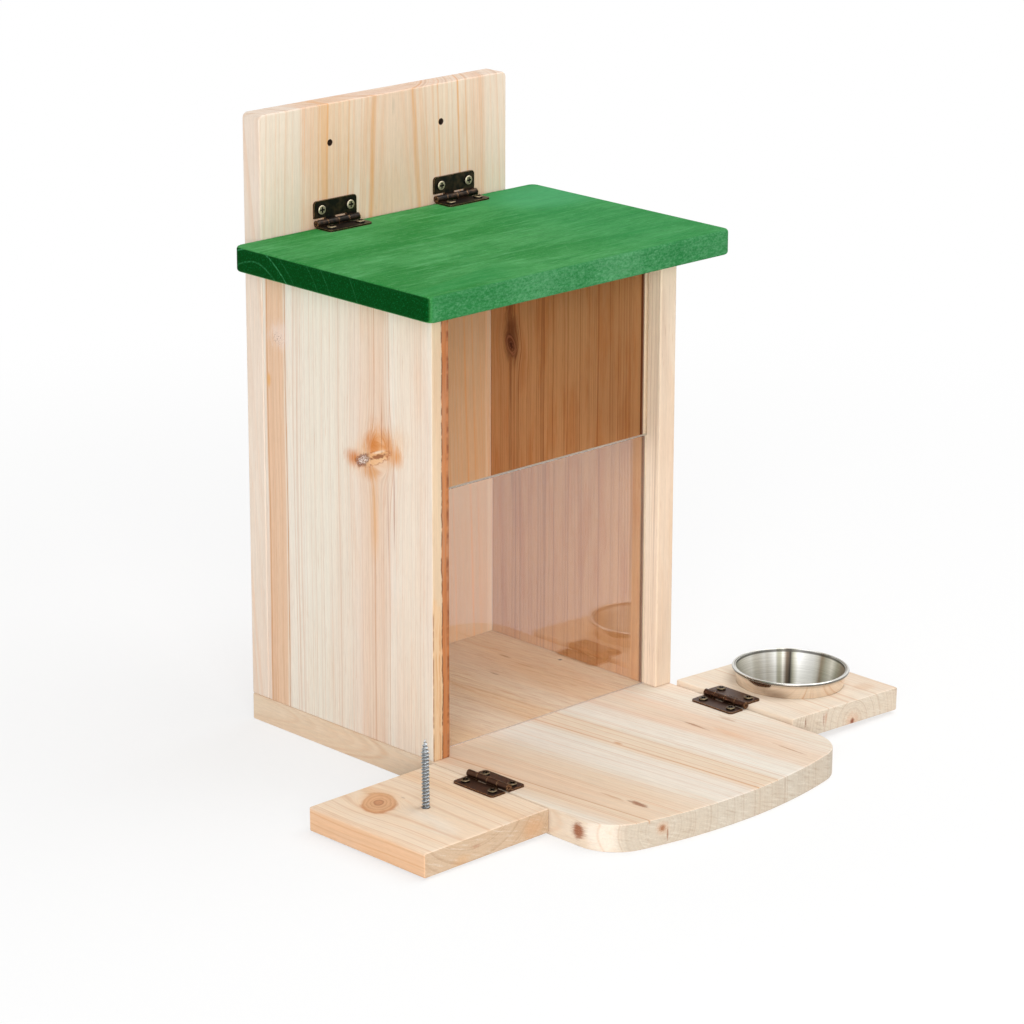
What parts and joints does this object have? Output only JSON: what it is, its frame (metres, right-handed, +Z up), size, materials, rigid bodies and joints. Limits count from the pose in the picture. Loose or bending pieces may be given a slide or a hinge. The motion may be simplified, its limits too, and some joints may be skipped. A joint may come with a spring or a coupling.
{
  "type": "squirrel feeder box",
  "caption": "Wooden squirrel feeder: nut box with hinged roof and clear sliding pane on a platform, with fold-up wings that carry a corn screw and a steel bowl.",
  "frame": {"origin": "on the standing surface, at the middle of the overall box", "axes": "+Z up, the open front of the nut box faces -Y, the back board's rear face is the +Y end, +X to the right seen from the front, towards the bowl"},
  "size_m": [0.28, 0.23, 0.27],
  "materials": {
    "fir": "planed bare softwood with grain, knots and orange streaks",
    "stained_fir": "softwood with a bright green stain, grain showing",
    "clear_acrylic": "clear polished sheet",
    "aged_bronze": "dark antique bronze, copper where worn",
    "nickel_screws": "nickel-plated pan heads",
    "zinc_screws": "bright zinc plate",
    "stainless_steel": "spun steel, brushed inside with a polished rolled rim"
  },
  "bodies": {
    "root": {"back_board": "fir", "left_side_panel": "fir", "right_side_panel": "fir", "floor_board": "fir", "back_to_side_screws": "zinc_screws", "floor_to_box_screws": "zinc_screws", "left_roof_hinge_upper_leaf": "aged_bronze", "left_roof_hinge_pin": "aged_bronze", "right_roof_hinge_upper_leaf": "aged_bronze", "right_roof_hinge_pin": "aged_bronze", "roof_hinge_upper_screws": "nickel_screws", "left_wing_hinge_inner_leaf": "aged_bronze", "left_wing_hinge_pin": "aged_bronze", "left_wing_hinge_inner_screws": "nickel_screws", "right_wing_hinge_inner_leaf": "aged_bronze", "right_wing_hinge_pin": "aged_bronze", "right_wing_hinge_inner_screws": "nickel_screws"},
    "roof": {"roof_board": "stained_fir", "left_roof_hinge_lower_leaf": "aged_bronze", "right_roof_hinge_lower_leaf": "aged_bronze", "roof_hinge_lower_screws": "nickel_screws"},
    "pane": {"window_pane": "clear_acrylic"},
    "left_wing": {"left_wing_board": "fir", "corn_screw": "zinc_screws", "left_wing_hinge_outer_leaf": "aged_bronze", "left_wing_hinge_outer_screws": "nickel_screws"},
    "right_wing": {"right_wing_board": "fir", "steel_bowl": "stainless_steel", "right_wing_hinge_outer_leaf": "aged_bronze", "right_wing_hinge_outer_screws": "nickel_screws"}
  },
  "joints": [
    {"name": "roof_hinge", "type": "hinge", "parent": "root", "child": "roof", "pos_m": [0, 0.1021, 0.2194], "axis": [-1, 0, 0], "range_deg": [0, 88]},
    {"name": "left_wing_hinge", "type": "hinge", "parent": "root", "child": "left_wing", "pos_m": [-0.0714, -0.036, 0.0139], "axis": [0, 1, 0], "range_deg": [0, 140]},
    {"name": "right_wing_hinge", "type": "hinge", "parent": "root", "child": "right_wing", "pos_m": [0.0702, -0.036, 0.0139], "axis": [0, -1, 0], "range_deg": [0, 140]},
    {"name": "pane_slide", "type": "slide", "parent": "root", "child": "pane", "axis": [0, 0, 1], "range_m": [0, 0.0798]}
  ]
}
